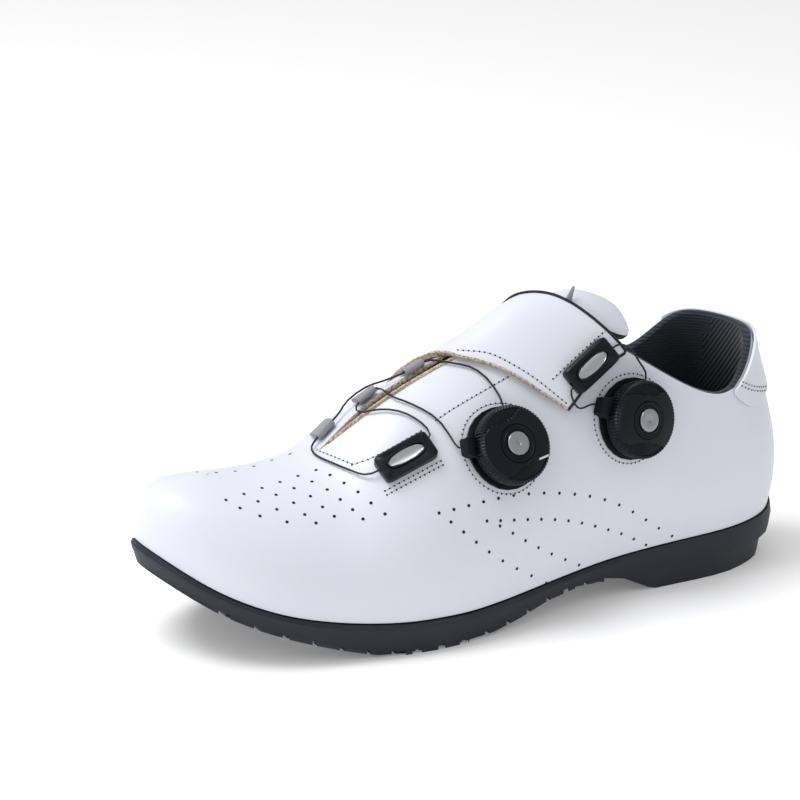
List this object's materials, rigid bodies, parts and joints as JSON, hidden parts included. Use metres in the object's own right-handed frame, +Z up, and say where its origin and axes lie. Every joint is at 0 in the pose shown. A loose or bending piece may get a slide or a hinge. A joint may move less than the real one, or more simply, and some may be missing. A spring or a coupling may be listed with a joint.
{
  "type": "cycling shoe",
  "caption": "Low left cycling shoe with a lugged rubber sole, thin hollow upper, slit throat with tongue, instep strap and lace dials.",
  "frame": {"origin": "on the floor below the middle of the shoe's box", "axes": "+Z up, toe towards -X, heel towards +X, outer side of the foot towards -Y"},
  "size_m": [0.2908, 0.1004, 0.1238],
  "materials": {
    "rubber": "matt moulded rubber",
    "microfibre": "smooth white microfibre with a soft gloss",
    "knit": "black ribbed knit",
    "grey_plastic": "matt grey moulded plastic",
    "black_plastic": "satin black moulded plastic",
    "webbing": "pale grey woven tape",
    "black_cord": "smooth black coated cord"
  },
  "bodies": {
    "root": {"outsole": "rubber", "cleat_cover": "grey_plastic", "insole": "knit", "upper": "microfibre", "heel_tab": "microfibre", "back_stay": "microfibre", "tongue": "knit", "instep_strap": "microfibre", "dial_base_lower": "black_plastic", "dial_cap_lower": "black_plastic", "dial_base_upper": "black_plastic", "dial_cap_upper": "black_plastic", "lace_guide_lower": "black_plastic", "lace_guide_strap": "black_plastic", "lace_loop_front": "webbing", "lace_loop_mid": "webbing", "lace_loop_top": "webbing", "lace_lower": "black_cord", "lace_upper": "black_cord"}
  },
  "joints": []
}
